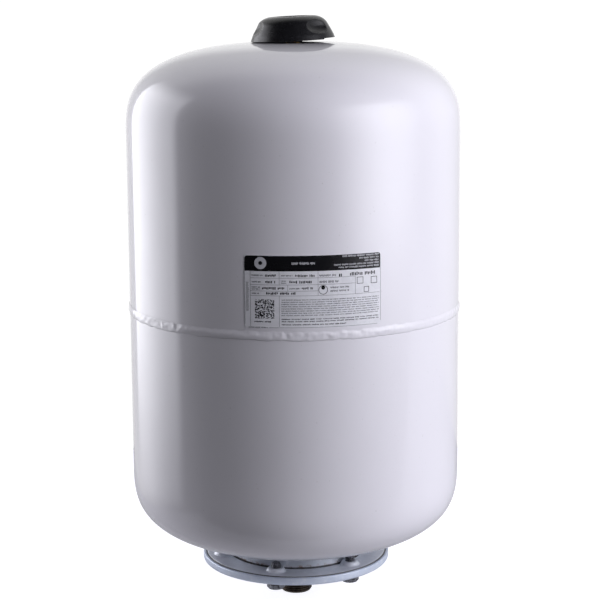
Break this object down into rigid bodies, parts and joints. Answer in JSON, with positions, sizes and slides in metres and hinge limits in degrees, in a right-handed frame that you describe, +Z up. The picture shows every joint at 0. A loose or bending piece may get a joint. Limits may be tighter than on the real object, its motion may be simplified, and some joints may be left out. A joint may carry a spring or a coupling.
{
  "type": "expansion vessel",
  "caption": "Vertical steel expansion vessel with a replaceable bladder, a bolted bottom flange with a male water connection, and an air valve under a screw cap.",
  "frame": {"origin": "centre of the water connection's lower end face, at the bottom of the vessel", "axes": "+Z up along the vessel's axis towards the air valve, -Y towards the front, where the nameplate is, +X to the right"},
  "size_m": [0.2734, 0.2734, 0.4807],
  "materials": {
    "vessel_paint": "gloss white powder coat with a slight violet-grey cast",
    "weld_paint": "the same gloss coat over a rippled weld bead",
    "label_film": "satin printed film, silver-grey with a black header band",
    "zinc_plate": "bright blue-passivated zinc plating, slightly clouded",
    "bolt_steel": "zinc-plated steel, darker in the threads",
    "pipe_steel": "dark, slightly oily machined thread",
    "bare_steel": "plain machined steel",
    "valve_brass": "turned brass",
    "cap_plastic": "black moulded plastic with a satin sheen",
    "seal_rubber": "matt black rubber",
    "bladder_rubber": "matt black moulded rubber"
  },
  "bodies": {
    "vessel": {"upper_shell": "vessel_paint", "lower_shell": "vessel_paint", "seam_weld": "weld_paint", "nameplate": "label_film", "backing_ring": "zinc_plate", "counterflange": "zinc_plate", "water_connection": "pipe_steel", "connection_weld": "zinc_plate", "bladder": "bladder_rubber", "valve_ferrule": "bare_steel", "valve_o_ring": "seal_rubber", "valve_stem": "valve_brass", "valve_core": "valve_brass", "valve_spring": "bare_steel", "neck_collar": "zinc_plate", "neck_weld": "zinc_plate", "flange_bolt_1": "bolt_steel", "flange_bolt_2": "bolt_steel", "flange_bolt_3": "bolt_steel", "flange_bolt_4": "bolt_steel", "flange_bolt_5": "bolt_steel", "flange_bolt_6": "bolt_steel"},
    "pin": {"valve_pin": "valve_brass", "valve_pin_seal": "seal_rubber"},
    "cap_washer": {"cap_seal": "seal_rubber"},
    "cap": {"valve_cap": "cap_plastic"}
  },
  "joints": [
    {"name": "pin_press", "type": "slide", "parent": "vessel", "child": "pin", "axis": [0, 0, 1], "range_m": [-0.0015, 0], "stiffness_N_per_m": 900, "springref_m": 0.002, "deforming": ["valve_spring"]},
    {"name": "cap_lift", "type": "slide", "parent": "vessel", "child": "cap_washer", "axis": [0, 0, 1], "range_m": [0, 0.00556]},
    {"name": "cap_turn", "type": "hinge", "parent": "cap_washer", "child": "cap", "pos_m": [0, 0, 0.47], "axis": [0, 0, 1], "range_deg": [0, 2520]}
  ],
  "couplings": [
    {"joint": "cap_lift", "follows": "cap_turn", "m_per_rad": 0.00012637}
  ]
}
